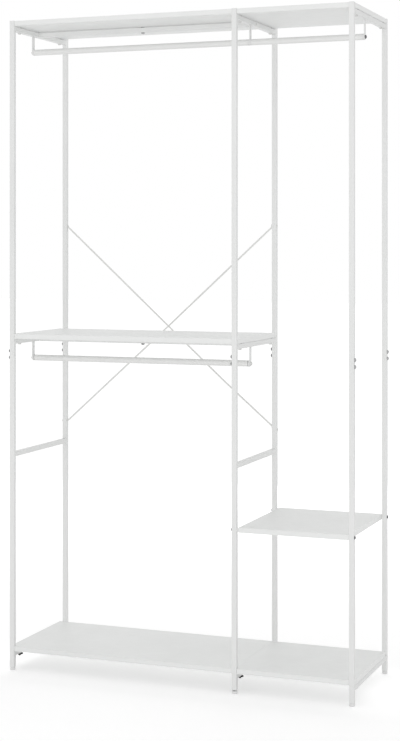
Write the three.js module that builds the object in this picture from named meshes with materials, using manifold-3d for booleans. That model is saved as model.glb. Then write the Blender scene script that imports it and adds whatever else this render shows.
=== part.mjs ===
// Open frame wardrobe: three end frames of square steel tube carry laminated boards,
// hanging rods and two crossed wire braces. Millimetres, +Z up, -Y to the front,
// origin on the floor under the middle of the whole width and depth.

import * as THREE from 'three';
import { mergeVertices } from 'three/addons/utils/BufferGeometryUtils.js';
import Module from 'manifold-3d';

const wasm = await Module();
wasm.setup();

// Spacing of the frames and posts, measured between tube centres
const leftBaySpacing = 727;
const rightBaySpacing = 354;
const depthSpacing = 370;

// Heights above the floor
const postHeight = 2000;
const spliceHeight = 973;
const bottomRailBase = 43;
const rungBase = 657.2;
const middleRailAboveSplice = 31.5;
const lowShelfBase = 471.5;

// Square tube of the posts, rails and support bars
const tubeSize = 15;
const tubeWall = 1;
const tubeCorner = 1.6;
const plugBite = 0.4;
const capThickness = 2;

// Boards
const boardThickness = 15;
const boardEdge = 0.6;
const boardFrontReach = 5;
const boardBackGap = 19.5;
const boardSetBelowPosts = 1;
const boardJointGap = 0.3;
const notchClearance = 0.5;
const lowShelfLeftGap = 6;
const lowShelfRightGap = 1.5;

// Bolts, their heads and the washers that carry the boards
const boltDiameter = 5;
const headDiameter = 9.5;
const headHeight = 3.3;
const washerDiameter = 12;
const washerThickness = 1;
const boardBoltInset = 45;
const boltReachIntoBoard = 8;

// Flared fitting on a stem, under the front bolt of a bottom rail
const fittingDiameter = 20;
const fittingRim = 1.2;
const fittingFlare = 2.4;
const fittingStemDiameter = 6.5;
const fittingStemLength = 5.4;
const boltReachIntoFitting = 5;

// Splice inside every post
const spliceLength = 60;
const spliceBoltPitch = 20;

// Support bar under each long board, measured from the front posts' centres
const supportBarFromFront = 170;

// Hanging rods, their straps and screws
const rodDiameter = 18.6;
const rodWall = 1.2;
const rodDropBelowRail = 50.75;
const rodFromFront = 138.5;
const rodPlugLength = 12;
const rodShoulder = 4.5;
const rodGrooveWidth = 0.6;
const rodGrooveDepth = 0.6;
const strapWidth = 16;
const strapThickness = 2;
const rodScrewReach = 9;

// Crossed braces behind the left bay
const braceDiameter = 4;
const braceLowHeight = 731;
const braceHighHeight = 1369;
const bracePassingGap = 0.6;
const braceTabWidth = 10;
const braceTabHeight = 11;
const braceTabThickness = 2.5;
const braceHeadHeight = 1.6;

// Levelling feet; the centre frame's are screwed further out
const footDiameter = 17;
const footHeight = 8.7;
const footEdge = 1.2;
const footStemDiameter = 8;
const footStemLength = 24;
const plugLength = 16;
const outerFootGap = 0.4;
const centreFootGap = 2.8;

// Clearance round what passes through or fits inside another piece, and overrun of cuts
const clearance = 0.3;
const cutOverrun = 2;

// Facets round a circle and round one corner of a tube
const roundSides = 16;
const boltSides = 10;
const wireSides = 8;
const cornerSteps = 2;

// Shares of a domed head: the height of its rim, the width of its crown
const headRimShare = 0.4;
const headCrownShare = 0.6;

// Places that follow from the sizes above
const halfTube = tubeSize / 2;
const boreSize = tubeSize - 2 * tubeWall;
const leftX = -(leftBaySpacing + rightBaySpacing) / 2;
const centreX = leftX + leftBaySpacing;
const rightX = centreX + rightBaySpacing;
const frontY = -depthSpacing / 2;
const backY = depthSpacing / 2;
const boardLift = tubeSize + washerThickness;
const topRailBase = postHeight - boardSetBelowPosts - boardThickness - boardLift;
const middleRailBase = spliceHeight + middleRailAboveSplice;
const boardFrontY = frontY - boardFrontReach;
const boardBackY = backY - halfTube - boardBackGap;
const boltFrontY = frontY + boardBoltInset;
const boltBackY = backY - boardBoltInset;
const supportBarX = (leftX + centreX) / 2;
const supportBarY = frontY + supportBarFromFront;
const rodY = frontY + rodFromFront;
const boltHoleDiameter = boltDiameter + 2 * clearance;
const lowShelfBoltHeight = lowShelfBase + boardThickness / 2;
const bracePlaneShift = (braceDiameter + bracePassingGap) / 2;
const lowerSpliceBolt = spliceHeight - spliceBoltPitch / 2;
const upperSpliceBolt = spliceHeight + spliceBoltPitch / 2;

// Finishes
const finishes = {
  paint: { color: 0xdcdcdc, roughness: 0.45, metalness: 0.1 },
  board: { color: 0xe6e6e6, roughness: 0.5, metalness: 0 },
  rod: { color: 0xdddddd, roughness: 0.4, metalness: 0.1 },
  hardware: { color: 0x9a9a9a, roughness: 0.35, metalness: 0.9 },
  darkPlastic: { color: 0x3a3a3a, roughness: 0.5, metalness: 0 },
  palePlastic: { color: 0xe0e0e0, roughness: 0.6, metalness: 0 },
};

// A closed geometry as a solid that can be joined and cut
function solidOf(geometry) {
  const bare = geometry.clone();
  bare.deleteAttribute('normal');
  bare.deleteAttribute('uv');
  const merged = mergeVertices(bare);
  return new wasm.Manifold(new wasm.Mesh({
    numProp: 3,
    vertProperties: new Float32Array(merged.attributes.position.array),
    triVerts: new Uint32Array(merged.index.array),
  }));
}

function geometryOf(solid) {
  const mesh = solid.getMesh();
  const geometry = new THREE.BufferGeometry();
  geometry.setAttribute('position', new THREE.BufferAttribute(mesh.vertProperties, 3));
  geometry.setIndex(new THREE.BufferAttribute(mesh.triVerts, 1));
  geometry.computeVertexNormals();
  return geometry;
}

const join = (first, ...others) => others.reduce((whole, next) => whole.add(next), first);
const cut = (first, ...others) => others.reduce((whole, next) => whole.subtract(next), first);

// Named piece in one finish, placed in its group
function piece(name, geometry, look, x = 0, y = 0, z = 0) {
  const mesh = new THREE.Mesh(geometry, new THREE.MeshStandardMaterial(finishes[look]));
  mesh.name = name;
  mesh.position.set(x, y, z);
  return mesh;
}

// Square outline with rounded corners, centred on the origin
function roundedSquare(size, corner) {
  const flat = size / 2 - corner;
  const quarter = Math.PI / 2;
  const outline = new THREE.Shape();
  outline.absarc(flat, flat, corner, 0, quarter);
  outline.absarc(-flat, flat, corner, quarter, 2 * quarter);
  outline.absarc(-flat, -flat, corner, 2 * quarter, 3 * quarter);
  outline.absarc(flat, -flat, corner, 3 * quarter, 4 * quarter);
  return outline;
}

function plainSquare(size) {
  const half = size / 2;
  const corners = [[half, half], [-half, half], [-half, -half], [half, -half]];
  return new THREE.Shape(corners.map(([x, y]) => new THREE.Vector2(x, y)));
}

// Basic forms below all rise from the origin along +Z
function extruded(outline, length) {
  return new THREE.ExtrudeGeometry(outline, {
    depth: length,
    bevelEnabled: false,
    curveSegments: cornerSteps,
  });
}

function squareTube(length) {
  const outline = roundedSquare(tubeSize, tubeCorner);
  outline.holes.push(plainSquare(boreSize));
  return extruded(outline, length);
}

function squareBar(size, length) {
  return extruded(plainSquare(size), length);
}

function roundBar(diameter, length, sides = boltSides) {
  const bar = new THREE.CylinderGeometry(diameter / 2, diameter / 2, length, sides);
  return bar.rotateX(Math.PI / 2).translate(0, 0, length / 2);
}

// Turned form from [radius, height] corners
function turned(corners, sides) {
  const outline = corners.map(([radius, height]) => new THREE.Vector2(radius, height));
  return new THREE.LatheGeometry(outline, sides).rotateX(Math.PI / 2);
}

function domedHead(height = headHeight) {
  const radius = headDiameter / 2;
  return turned([
    [0, 0],
    [radius, 0],
    [radius, height * headRimShare],
    [radius * headCrownShare, height],
    [0, height],
  ], boltSides);
}

// Solids of those forms, set at a place and running along +Z, -Z or X
const upward = (form, x, y, z) => solidOf(form.translate(x, y, z));
const downward = (form, x, y, z) => solidOf(form.rotateX(Math.PI).translate(x, y, z));

function sideways(form, side, x, y, z) {
  return solidOf(form.rotateY(side * Math.PI / 2).translate(x, y, z));
}

// Hole through the wall on one side of a post
function wallHole(side, height) {
  return sideways(roundBar(boltHoleDiameter, halfTube + cutOverrun), side, 0, 0, height);
}

// Hole right through a post along X
function throughHole(y, height) {
  const length = tubeSize + 2 * cutOverrun;
  return sideways(roundBar(boltHoleDiameter, length), 1, -length / 2, y, height);
}

// Bolts that pass right through a post along X: the low shelf's and the braces'
function crossings(frame, place) {
  const bolts = [];
  if (frame.carriesLowShelf) {
    bolts.push({ y: 0, height: lowShelfBoltHeight });
  }
  if (frame.braceRise && place === 'back') {
    bolts.push(
      { y: -frame.braceRise * bracePlaneShift, height: braceHighHeight },
      { y: frame.braceRise * bracePlaneShift, height: braceLowHeight },
    );
  }
  return bolts;
}

// Upper half of a post: a tube closed by a flush cap
function upperPost(frame, place) {
  const length = postHeight - spliceHeight;
  const capSize = boreSize + 2 * plugBite;
  const bolts = crossings(frame, place).filter(({ height }) => height > spliceHeight);
  return geometryOf(cut(
    join(
      solidOf(squareTube(length)),
      upward(squareBar(capSize, capThickness), 0, 0, length - capThickness),
    ),
    wallHole(frame.headSide, upperSpliceBolt - spliceHeight),
    ...bolts.map(({ y, height }) => throughHole(y, height - spliceHeight)),
  ));
}

// Lower half of a post: a tube with a plug that the foot's stem runs through
function lowerPost(frame, place) {
  const base = footHeight + frame.footGap;
  const plugSize = boreSize + 2 * plugBite;
  const stemHole = footStemDiameter + 2 * clearance;
  const bolts = crossings(frame, place).filter(({ height }) => height < spliceHeight);
  return geometryOf(cut(
    join(
      solidOf(squareTube(spliceHeight - base)),
      solidOf(squareBar(plugSize, plugLength)),
    ),
    upward(roundBar(stemHole, plugLength + 2 * cutOverrun), 0, 0, -cutOverrun),
    wallHole(frame.headSide, lowerSpliceBolt - base),
    ...bolts.map(({ y, height }) => throughHole(y, height - base)),
  ));
}

// Bar inside both halves of a post, with the two bolts that pass through one wall
function splice(side) {
  const size = boreSize - 2 * clearance;
  const bolts = [lowerSpliceBolt, upperSpliceBolt].flatMap((height) => [
    sideways(roundBar(boltDiameter, halfTube + headHeight / 2), side, 0, 0, height - spliceHeight),
    sideways(domedHead(), side, side * halfTube, 0, height - spliceHeight),
  ]);
  return geometryOf(join(upward(squareBar(size, spliceLength), 0, 0, -spliceLength / 2), ...bolts));
}

// Levelling foot with its stem; the sole is at the origin
function levellingFoot() {
  const radius = footDiameter / 2;
  const stem = footStemDiameter / 2;
  return turned([
    [0, 0],
    [radius - footEdge, 0],
    [radius, footEdge],
    [radius, footHeight],
    [stem, footHeight],
    [stem, footHeight + footStemLength],
    [0, footHeight + footStemLength],
  ], roundSides);
}

// Bolt up through a rail or bar, with a washer on top that carries the board
function boardBolt(x, y, hasFitting = false) {
  const below = hasFitting ? boltReachIntoFitting : headHeight / 2;
  const length = below + boardLift + boltReachIntoBoard;
  const bolt = [
    upward(roundBar(boltDiameter, length), x, y, -below),
    upward(roundBar(washerDiameter, washerThickness), x, y, tubeSize),
  ];
  if (!hasFitting) {
    bolt.push(downward(domedHead(), x, y, 0));
  }
  return bolt;
}

// Plain rail from the front post to the back post; its underside is at the origin
function plainRail() {
  const length = depthSpacing - tubeSize;
  return squareTube(length).rotateX(-Math.PI / 2).translate(0, -length / 2, halfTube);
}

function boardRail(hasFitting = false) {
  return geometryOf(join(
    solidOf(plainRail()),
    ...boardBolt(0, boltFrontY, hasFitting),
    ...boardBolt(0, boltBackY),
  ));
}

// Support bar from rail to rail under a long board; its underside is at the origin
function supportBar() {
  const length = leftBaySpacing - tubeSize;
  const tube = squareTube(length).rotateY(Math.PI / 2).translate(-length / 2, 0, halfTube);
  return geometryOf(join(solidOf(tube), ...boardBolt(0, 0)));
}

// Fitting screwed up onto the end of a bolt; its upper face is at the origin
function boltFitting() {
  const radius = fittingDiameter / 2;
  const stem = fittingStemDiameter / 2;
  const flareEnd = fittingRim + fittingFlare;
  const hole = boltHoleDiameter / 2;
  const holeEnd = boltReachIntoFitting + clearance;
  return turned([
    [0, holeEnd],
    [hole, holeEnd],
    [hole, 0],
    [radius, 0],
    [radius, fittingRim],
    [stem, flareEnd],
    [stem, flareEnd + fittingStemLength],
    [0, flareEnd + fittingStemLength],
  ], boltSides).rotateX(Math.PI);
}

// Board slab with a small chamfer along its edges, from [x, y] corners
function slab(corners) {
  const outline = new THREE.Shape(corners.map(([x, y]) => new THREE.Vector2(x, y)));
  return new THREE.ExtrudeGeometry(outline, {
    depth: boardThickness - 2 * boardEdge,
    bevelEnabled: true,
    bevelThickness: boardEdge,
    bevelSize: boardEdge,
    bevelOffset: -boardEdge,
    bevelSegments: 1,
  }).translate(0, 0, boardEdge);
}

// Board on two frames, notched round their front posts, with holes for the bolts' ends
function board(startX, endX, startFrameX, endFrameX, extraBolts = []) {
  const notchY = frontY + halfTube + notchClearance;
  const notchReach = halfTube + notchClearance;
  const corners = [
    [startX, notchY],
    [startFrameX + notchReach, notchY],
    [startFrameX + notchReach, boardFrontY],
    [endFrameX - notchReach, boardFrontY],
    [endFrameX - notchReach, notchY],
    [endX, notchY],
    [endX, boardBackY],
    [startX, boardBackY],
  ];
  const boltPlaces = [startFrameX, endFrameX].flatMap((x) => [[x, boltFrontY], [x, boltBackY]]);
  const holeLength = cutOverrun + boltReachIntoBoard + clearance;
  const holes = [...boltPlaces, ...extraBolts].map(([x, y]) => (
    upward(roundBar(boltHoleDiameter, holeLength), x, y, -cutOverrun)));
  return geometryOf(cut(solidOf(slab(corners)), ...holes));
}

// Low shelf of the right bay, on spacers and bolts through the four posts
function lowShelf() {
  const startX = centreX + halfTube + lowShelfLeftGap;
  const endX = rightX - halfTube - lowShelfRightGap;
  const backEdge = backY + boardFrontReach;
  const shelf = solidOf(slab([
    [startX, boardFrontY],
    [endX, boardFrontY],
    [endX, backEdge],
    [startX, backEdge],
  ]));
  const level = boardThickness / 2;
  const bolts = [];
  for (const y of [frontY, backY]) {
    for (const [frameX, side, gap] of [
      [centreX, -1, lowShelfLeftGap],
      [rightX, 1, lowShelfRightGap],
    ]) {
      const outerFace = frameX + side * halfTube;
      const innerFace = frameX - side * halfTube;
      const boltLength = tubeSize + gap + boltReachIntoBoard;
      bolts.push(
        sideways(domedHead(), side, outerFace, y, level),
        sideways(roundBar(boltDiameter, boltLength), -side, outerFace, y, level),
        sideways(roundBar(washerDiameter, gap + boardEdge), -side, innerFace, y, level),
      );
    }
  }
  return geometryOf(join(shelf, ...bolts));
}

// Strap under a rail: square at the top, round about the rod's axis; its top is at the origin
function rodStrap() {
  const half = strapWidth / 2;
  const outline = new THREE.Shape();
  outline.moveTo(half, 0);
  outline.lineTo(-half, 0);
  outline.lineTo(-half, -rodDropBelowRail);
  outline.absarc(0, -rodDropBelowRail, half, Math.PI, 2 * Math.PI);
  const hole = new THREE.Path();
  hole.absarc(0, -rodDropBelowRail, boltHoleDiameter / 2, 0, 2 * Math.PI);
  outline.holes.push(hole);
  const plate = new THREE.ExtrudeGeometry(outline, {
    depth: strapThickness,
    bevelEnabled: false,
    curveSegments: boltSides,
  });
  return plate.rotateX(Math.PI / 2).rotateZ(Math.PI / 2).translate(-strapThickness / 2, 0, 0);
}

// Rod between two straps: a tube with end plugs, and a groove where each plug's rim ends
function rod(frameSpacing) {
  const length = frameSpacing - strapThickness;
  const outer = rodDiameter / 2;
  const inner = outer - rodWall;
  const pilot = boltHoleDiameter / 2;
  const root = outer - rodGrooveDepth;
  const grooveEnd = rodShoulder + rodGrooveWidth;
  return turned([
    [pilot, 0],
    [outer, 0],
    [outer, rodShoulder],
    [root, rodShoulder],
    [root, grooveEnd],
    [outer, grooveEnd],
    [outer, length - grooveEnd],
    [root, length - grooveEnd],
    [root, length - rodShoulder],
    [outer, length - rodShoulder],
    [outer, length],
    [pilot, length],
    [pilot, length - rodPlugLength],
    [inner, length - rodPlugLength],
    [inner, rodPlugLength],
    [pilot, rodPlugLength],
    [pilot, 0],
  ], roundSides).rotateY(Math.PI / 2).translate(-length / 2, 0, 0);
}

// Screw through a strap into the rod's plug; its head is on the given side
function rodScrew(side) {
  const seat = side * strapThickness / 2;
  return geometryOf(join(
    sideways(roundBar(boltDiameter, strapThickness + rodScrewReach), -side, seat, 0, 0),
    sideways(domedHead(), side, seat, 0, 0),
  ));
}

// Headless stud through the centre strap, into the rods on both sides
function rodStud() {
  const length = strapThickness + 2 * rodScrewReach;
  return roundBar(boltDiameter, length).rotateY(Math.PI / 2).translate(-length / 2, 0, 0);
}

// Brace behind the left bay: a wire between two tabs, each bolted to the inner face of a back
// post with a low head on the outer face
function brace(leftHeight, rightHeight) {
  const reach = halfTube + braceTabThickness;
  const start = new THREE.Vector3(leftX + reach, 0, leftHeight);
  const end = new THREE.Vector3(centreX - reach, 0, rightHeight);
  const span = new THREE.Vector3().subVectors(end, start);
  const turn = new THREE.Quaternion().setFromUnitVectors(
    new THREE.Vector3(0, 0, 1), span.clone().normalize());
  const bar = roundBar(braceDiameter, span.length(), wireSides).applyQuaternion(turn);
  const ends = [[start, -1], [end, 1]].flatMap(([point, side]) => {
    const ball = new THREE.SphereGeometry(braceDiameter / 2, wireSides, wireSides / 2);
    const tab = new THREE.BoxGeometry(braceTabThickness, braceTabWidth, braceTabHeight);
    const outerFace = point.x + side * (braceTabThickness + tubeSize);
    const boltLength = tubeSize + braceTabThickness / 2;
    return [
      upward(ball, point.x, 0, point.z),
      upward(tab, point.x + side * braceTabThickness / 2, 0, point.z),
      sideways(roundBar(boltDiameter, boltLength), -side, outerFace, 0, point.z),
      sideways(domedHead(braceHeadHeight), side, outerFace, 0, point.z),
    ];
  });
  return geometryOf(join(upward(bar, start.x, 0, start.z), ...ends));
}

// The three end frames; heads face outwards on the left and right frames
const frames = {
  left: {
    x: leftX, headSide: -1, footGap: outerFootGap, braceRise: -1,
    middleRail: true, hasFitting: true,
  },
  centre: {
    x: centreX, headSide: -1, footGap: centreFootGap, braceRise: 1,
    middleRail: true, hasFitting: true, carriesLowShelf: true,
  },
  right: {
    x: rightX, headSide: 1, footGap: outerFootGap, carriesLowShelf: true,
  },
};

function endFrame(side, frame) {
  const group = new THREE.Group();
  group.position.x = frame.x;
  for (const [place, y] of [['front', frontY], ['back', backY]]) {
    const name = `${side}_${place}`;
    const base = footHeight + frame.footGap;
    group.add(
      piece(`${name}_foot`, levellingFoot(), 'palePlastic', 0, y, 0),
      piece(`${name}_lower_post`, lowerPost(frame, place), 'paint', 0, y, base),
      piece(`${name}_splice`, splice(frame.headSide), 'hardware', 0, y, spliceHeight),
      piece(`${name}_upper_post`, upperPost(frame, place), 'paint', 0, y, spliceHeight),
    );
  }
  group.add(
    piece(`${side}_bottom_rail`, boardRail(frame.hasFitting), 'paint', 0, 0, bottomRailBase),
    piece(`${side}_top_rail`, boardRail(), 'paint', 0, 0, topRailBase),
    piece(`${side}_top_strap`, rodStrap(), 'paint', 0, rodY, topRailBase),
  );
  if (frame.middleRail) {
    group.add(
      piece(`${side}_rung`, plainRail(), 'paint', 0, 0, rungBase),
      piece(`${side}_middle_rail`, boardRail(), 'paint', 0, 0, middleRailBase),
      piece(`${side}_middle_strap`, rodStrap(), 'paint', 0, rodY, middleRailBase),
    );
  }
  if (frame.hasFitting) {
    group.add(
      piece(`${side}_bolt_fitting`, boltFitting(), 'darkPlastic', 0, boltFrontY, bottomRailBase),
    );
  }
  return group;
}

// Boards and the support bars under the long ones, by level
function boards() {
  const group = new THREE.Group();
  const outerLeft = leftX - halfTube;
  const outerRight = rightX + halfTube;
  const jointLeft = centreX - boardJointGap / 2;
  const jointRight = centreX + boardJointGap / 2;
  const middleBolt = [[supportBarX, supportBarY]];
  const levels = { bottom: bottomRailBase, middle: middleRailBase, top: topRailBase };
  for (const [level, base] of Object.entries(levels)) {
    const endX = level === 'middle' ? centreX + halfTube : jointLeft;
    const long = board(outerLeft, endX, leftX, centreX, middleBolt);
    group.add(
      piece(`${level}_left_board`, long, 'board', 0, 0, base + boardLift),
      piece(`${level}_support_bar`, supportBar(), 'paint', supportBarX, supportBarY, base),
    );
    if (level !== 'middle') {
      const short = board(jointRight, outerRight, centreX, rightX);
      group.add(piece(`${level}_right_board`, short, 'board', 0, 0, base + boardLift));
    }
  }
  group.add(piece('low_right_shelf', lowShelf(), 'board', 0, 0, lowShelfBase));
  return group;
}

// Rods with the screws and the stud that hold them
function rods() {
  const group = new THREE.Group();
  group.position.y = rodY;
  const topZ = topRailBase - rodDropBelowRail;
  const middleZ = middleRailBase - rodDropBelowRail;
  const rightMiddle = (centreX + rightX) / 2;
  group.add(
    piece('top_left_rod', rod(leftBaySpacing), 'rod', supportBarX, 0, topZ),
    piece('top_right_rod', rod(rightBaySpacing), 'rod', rightMiddle, 0, topZ),
    piece('middle_left_rod', rod(leftBaySpacing), 'rod', supportBarX, 0, middleZ),
    piece('left_top_rod_screw', rodScrew(-1), 'hardware', leftX, 0, topZ),
    piece('centre_top_rod_stud', rodStud(), 'hardware', centreX, 0, topZ),
    piece('right_top_rod_screw', rodScrew(1), 'hardware', rightX, 0, topZ),
    piece('left_middle_rod_screw', rodScrew(-1), 'hardware', leftX, 0, middleZ),
    piece('centre_middle_rod_screw', rodScrew(1), 'hardware', centreX, 0, middleZ),
  );
  return group;
}

// The braces cross in two planes, so that they pass each other
function braces() {
  const group = new THREE.Group();
  group.position.y = backY;
  const falling = brace(braceHighHeight, braceLowHeight);
  const rising = brace(braceLowHeight, braceHighHeight);
  group.add(
    piece('falling_brace', falling, 'hardware', 0, bracePlaneShift),
    piece('rising_brace', rising, 'hardware', 0, -bracePlaneShift),
  );
  return group;
}

const wardrobe = new THREE.Group();
for (const [side, frame] of Object.entries(frames)) {
  wardrobe.add(endFrame(side, frame));
}
wardrobe.add(boards(), rods(), braces());

export default wardrobe;
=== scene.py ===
"""Looks of an open frame wardrobe, dressed round its fixed frame.

Three upright frames of square steel tube carry laminated boards, hanging rods and two crossed
wire braces. Metres, +Z up, -Y to the front, origin on the floor under the middle.
"""

from __future__ import annotations

import logging
import math
from collections.abc import Iterable, Sequence
from dataclasses import dataclass, field
from enum import Enum

import bmesh
import bpy
from mathutils import Matrix, Vector


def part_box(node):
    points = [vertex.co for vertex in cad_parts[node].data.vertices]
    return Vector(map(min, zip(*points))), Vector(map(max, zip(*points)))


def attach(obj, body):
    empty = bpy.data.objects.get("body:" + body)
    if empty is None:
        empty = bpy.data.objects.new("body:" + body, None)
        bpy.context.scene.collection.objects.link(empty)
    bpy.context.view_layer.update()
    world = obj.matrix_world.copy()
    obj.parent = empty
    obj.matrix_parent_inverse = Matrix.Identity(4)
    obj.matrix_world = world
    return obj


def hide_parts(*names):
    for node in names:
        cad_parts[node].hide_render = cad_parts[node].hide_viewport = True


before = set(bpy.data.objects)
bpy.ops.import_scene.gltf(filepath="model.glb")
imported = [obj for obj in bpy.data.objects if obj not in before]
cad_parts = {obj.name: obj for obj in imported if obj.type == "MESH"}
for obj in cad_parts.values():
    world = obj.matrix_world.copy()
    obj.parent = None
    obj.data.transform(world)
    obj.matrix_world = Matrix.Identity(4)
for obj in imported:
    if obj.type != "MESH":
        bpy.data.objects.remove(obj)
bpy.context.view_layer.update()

LOG = logging.getLogger("wardrobe")

MERGE_DISTANCE = 1e-7
SHARP_ANGLE = math.radians(40)
FLAT_NORMAL = 0.999
NOISE_LOW = 0.3
NOISE_HIGH = 0.7
CORNER_STEPS = 4
TUBE_RIM_SHARE = 0.25
SOCKET_SIDES = 6
UP = Vector((0, 0, 1))
DOWN = Vector((0, 0, -1))
TO_RIGHT = Vector((1, 0, 0))
TO_BACK = Vector((0, 1, 0))


class Side(Enum):
    """Upright frames, from left to right as seen from the front."""

    LEFT = "left"
    CENTRE = "centre"
    RIGHT = "right"


class Place(Enum):
    """Posts of one upright frame."""

    FRONT = "front"
    BACK = "back"


class Level(Enum):
    """Heights at which rails carry boards."""

    BOTTOM = "bottom"
    MIDDLE = "middle"
    TOP = "top"


class Slot(Enum):
    """Material slots that the finishes belong to."""

    PAINT = "paint"
    BOARD = "board"
    ROD = "rod"
    HARDWARE = "hardware"
    DARK_PLASTIC = "dark_plastic"
    PALE_PLASTIC = "pale_plastic"


class Body(Enum):
    """Bodies other than those of the feet, which carry the names of their nodes."""

    FRAME = "frame"


# Finishes


class NodeTree:
    """Node tree of a material or a world, with short calls that add and join its nodes."""

    def __init__(self, owner: bpy.types.Material | bpy.types.World) -> None:
        """Starts an empty tree.

        Args:
            owner: Material or world that the tree belongs to.
        """
        owner.use_nodes = True
        self.tree = owner.node_tree
        self.tree.nodes.clear()

    def add(self, kind: str, values: dict[str, object] | None = None) -> bpy.types.Node:
        """Adds a node.

        Args:
            kind: Type name of the node.
            values: Values of its inputs, by socket name.

        Returns:
            The new node.
        """
        node = self.tree.nodes.new(kind)
        for name, value in (values or {}).items():
            node.inputs[name].default_value = value
        return node

    def join(self, source: bpy.types.NodeSocket, target: bpy.types.NodeSocket) -> None:
        """Links one socket to another."""
        self.tree.links.new(source, target)

    def math(self, operation: str, *values: bpy.types.NodeSocket | float) -> bpy.types.NodeSocket:
        """Adds a step of arithmetic.

        Args:
            operation: Name of the operation.
            values: Its numbers, given as sockets or as they are.

        Returns:
            The result.
        """
        node = self.tree.nodes.new("ShaderNodeMath")
        node.operation = operation
        for value, target in zip(values, node.inputs):
            if isinstance(value, bpy.types.NodeSocket):
                self.join(value, target)
            else:
                target.default_value = value
        return node.outputs[0]

    def noise(self, size: float, stretch: tuple[float, float, float] = (1, 1, 1),
              detail: float = 2.0) -> bpy.types.NodeSocket:
        """Adds noise on object coordinates.

        Args:
            size: Size of its features in metres.
            stretch: How much longer the features are along X, Y and Z.
            detail: Octaves of finer noise.

        Returns:
            The noise as a number from 0 to 1.
        """
        where = self.add("ShaderNodeTexCoord")
        turn = self.add("ShaderNodeMapping", {"Scale": tuple(1 / share for share in stretch)})
        noise = self.add("ShaderNodeTexNoise", {"Scale": 1 / size, "Detail": detail})
        self.join(where.outputs["Object"], turn.inputs["Vector"])
        self.join(turn.outputs["Vector"], noise.inputs["Vector"])
        return noise.outputs["Fac"]

    def spread(self, source: bpy.types.NodeSocket, low: float, high: float) -> bpy.types.NodeSocket:
        """Maps noise round its middle to a range.

        Args:
            source: The noise.
            low: Value where the noise is low.
            high: Value where the noise is high.

        Returns:
            The mapped number.
        """
        values = {"From Min": NOISE_LOW, "From Max": NOISE_HIGH, "To Min": low, "To Max": high}
        mapped = self.add("ShaderNodeMapRange", values)
        self.join(source, mapped.inputs["Value"])
        return mapped.outputs["Result"]


@dataclass(frozen=True)
class Finish:
    """Finish of a surface: its colour, its gloss and the drift and grain of both."""

    name: str
    slot: Slot
    colour: tuple[float, float, float]
    roughness: float
    metallic: float = 0.0
    tone_drift: float = 0.015
    tone_size: float = 0.3
    gloss_drift: float = 0.05
    gloss_size: float = 0.02
    grain_size: float = 0.0009
    grain_depth: float = 0.00001
    stretch: tuple[float, float, float] = (1, 1, 1)

    def material(self) -> bpy.types.Material:
        """Returns the finish's material, which is built on its first use."""
        return bpy.data.materials.get(self.name) or self.build()

    def build(self) -> bpy.types.Material:
        """Builds the node tree.

        Returns:
            The new material.
        """
        material = bpy.data.materials.new(self.name)
        tree = NodeTree(material)
        shader = tree.add("ShaderNodeBsdfPrincipled", {"Metallic": self.metallic})
        output = tree.add("ShaderNodeOutputMaterial")
        tree.join(shader.outputs["BSDF"], output.inputs["Surface"])
        tree.join(self.tone(tree), shader.inputs["Base Color"])
        gloss = tree.noise(self.gloss_size, self.stretch)
        low, high = self.roughness - self.gloss_drift, self.roughness + self.gloss_drift
        tree.join(tree.spread(gloss, low, high), shader.inputs["Roughness"])
        bump = tree.add("ShaderNodeBump", {"Strength": 1.0, "Distance": self.grain_depth})
        tree.join(self.grain(tree), bump.inputs["Height"])
        tree.join(bump.outputs["Normal"], shader.inputs["Normal"])
        return material

    def tone(self, tree: NodeTree) -> bpy.types.NodeSocket:
        """Adds the colour with its slow drift.

        Args:
            tree: Tree that takes the nodes.

        Returns:
            The colour.
        """
        ramp = tree.add("ShaderNodeValToRGB")
        stops = ((NOISE_LOW, 1 - self.tone_drift), (NOISE_HIGH, 1 + self.tone_drift))
        for element, (place, share) in zip(ramp.color_ramp.elements, stops):
            element.position = place
            element.color = (*(part * share for part in self.colour), 1)
        tree.join(tree.noise(self.tone_size), ramp.inputs["Fac"])
        return ramp.outputs["Color"]

    def grain(self, tree: NodeTree) -> bpy.types.NodeSocket:
        """Adds the height of the grain.

        Args:
            tree: Tree that takes the nodes.

        Returns:
            The height.
        """
        return tree.noise(self.grain_size, self.stretch)


@dataclass(frozen=True)
class PebbledFinish(Finish):
    """Finish with rounded pebbles in its grain, as on coated boards and moulded plastic."""

    pebble_size: float = 0.0012
    pebble_share: float = 0.6

    def grain(self, tree: NodeTree) -> bpy.types.NodeSocket:
        """Adds fine noise over pebbles.

        Args:
            tree: Tree that takes the nodes.

        Returns:
            The height.
        """
        where = tree.add("ShaderNodeTexCoord")
        pebbles = tree.add("ShaderNodeTexVoronoi", {"Scale": 1 / self.pebble_size})
        pebbles.feature = "SMOOTH_F1"
        tree.join(where.outputs["Object"], pebbles.inputs["Vector"])
        both = tree.add("ShaderNodeMix", {"Factor": self.pebble_share})
        tree.join(super().grain(tree), both.inputs["A"])
        tree.join(pebbles.outputs["Distance"], both.inputs["B"])
        return both.outputs["Result"]


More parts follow.
